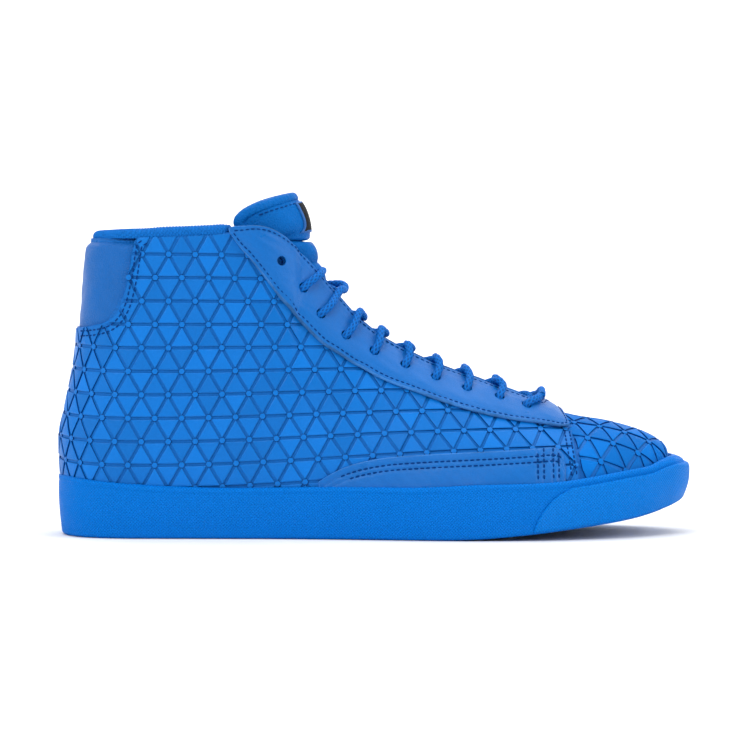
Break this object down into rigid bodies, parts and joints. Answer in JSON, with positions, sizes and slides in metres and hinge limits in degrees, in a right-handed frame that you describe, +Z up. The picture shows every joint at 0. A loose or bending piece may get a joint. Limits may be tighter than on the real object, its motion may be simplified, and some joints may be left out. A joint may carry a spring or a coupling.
{
  "type": "basketball high top",
  "caption": "Right-foot lace-up high top with a rubber cup sole, triangle-embossed leather upper, padded collar and a padded tongue whose top flap bends forward.",
  "frame": {"origin": "on the ground, under the centre of the shoe's bounding box", "axes": "+X to the toe, +Y to the medial (inner) side of the foot, +Z up"},
  "size_m": [0.3049, 0.1068, 0.1649],
  "materials": {
    "sole_rubber": "satin moulded rubber with a fine crosshatch",
    "outsole_rubber": "moulded tread rubber",
    "midsole_foam": "closed-cell foam",
    "stiffener": "thermoplastic stiffener sheet",
    "padding": "open-cell foam",
    "lining": "knitted lining",
    "webbing": "ribbed webbing",
    "smooth_leather": "smooth leather, satin",
    "grained_leather": "grained leather",
    "embossed_leather": "leather embossed with triangles",
    "board": "fibre board",
    "sock_fabric": "fabric-topped foam",
    "tongue_leather": "soft padded leather",
    "label_tape": "woven tape, plain",
    "lace_braid": "round braid",
    "aglet_film": "clear blue film"
  },
  "bodies": {
    "shoe": {"sidewall_foxing": "sole_rubber", "outsole": "outsole_rubber", "midsole_foam": "midsole_foam", "toe_wrap": "sole_rubber", "lateral_quarter": "embossed_leather", "medial_quarter": "embossed_leather", "heel_tab": "grained_leather", "heel_counter": "stiffener", "collar_foam": "padding", "quarter_lining": "lining", "collar_binding": "webbing", "vamp": "embossed_leather", "toe_puff": "stiffener", "vamp_lining": "lining", "eyestay": "smooth_leather", "lateral_eyelet_facing": "webbing", "medial_eyelet_facing": "webbing", "lateral_mudguard": "smooth_leather", "medial_mudguard": "smooth_leather", "insole_board": "board", "sockliner": "sock_fabric", "lace": "lace_braid", "aglet_a": "aglet_film", "aglet_b": "aglet_film"},
    "tongue": {"tongue_shell": "tongue_leather", "tongue_foam": "padding", "tongue_lining": "lining"},
    "tongue_flap": {"tongue_flap_shell": "tongue_leather", "tongue_flap_foam": "padding", "tongue_flap_lining": "lining", "tongue_binding": "tongue_leather", "tongue_label": "label_tape"}
  },
  "joints": [
    {"name": "tongue_base", "type": "hinge", "parent": "shoe", "child": "tongue", "pos_m": [0.08, 0.0018, 0.052], "axis": [0, 1, 0], "range_deg": [-4, 0], "stiffness_Nm_per_rad": 1.2},
    {"name": "tongue_flap_bend", "type": "hinge", "parent": "tongue", "child": "tongue_flap", "pos_m": [-0.0308, 0.0018, 0.141], "axis": [0, 1, 0], "range_deg": [0, 30], "stiffness_Nm_per_rad": 0.15}
  ]
}
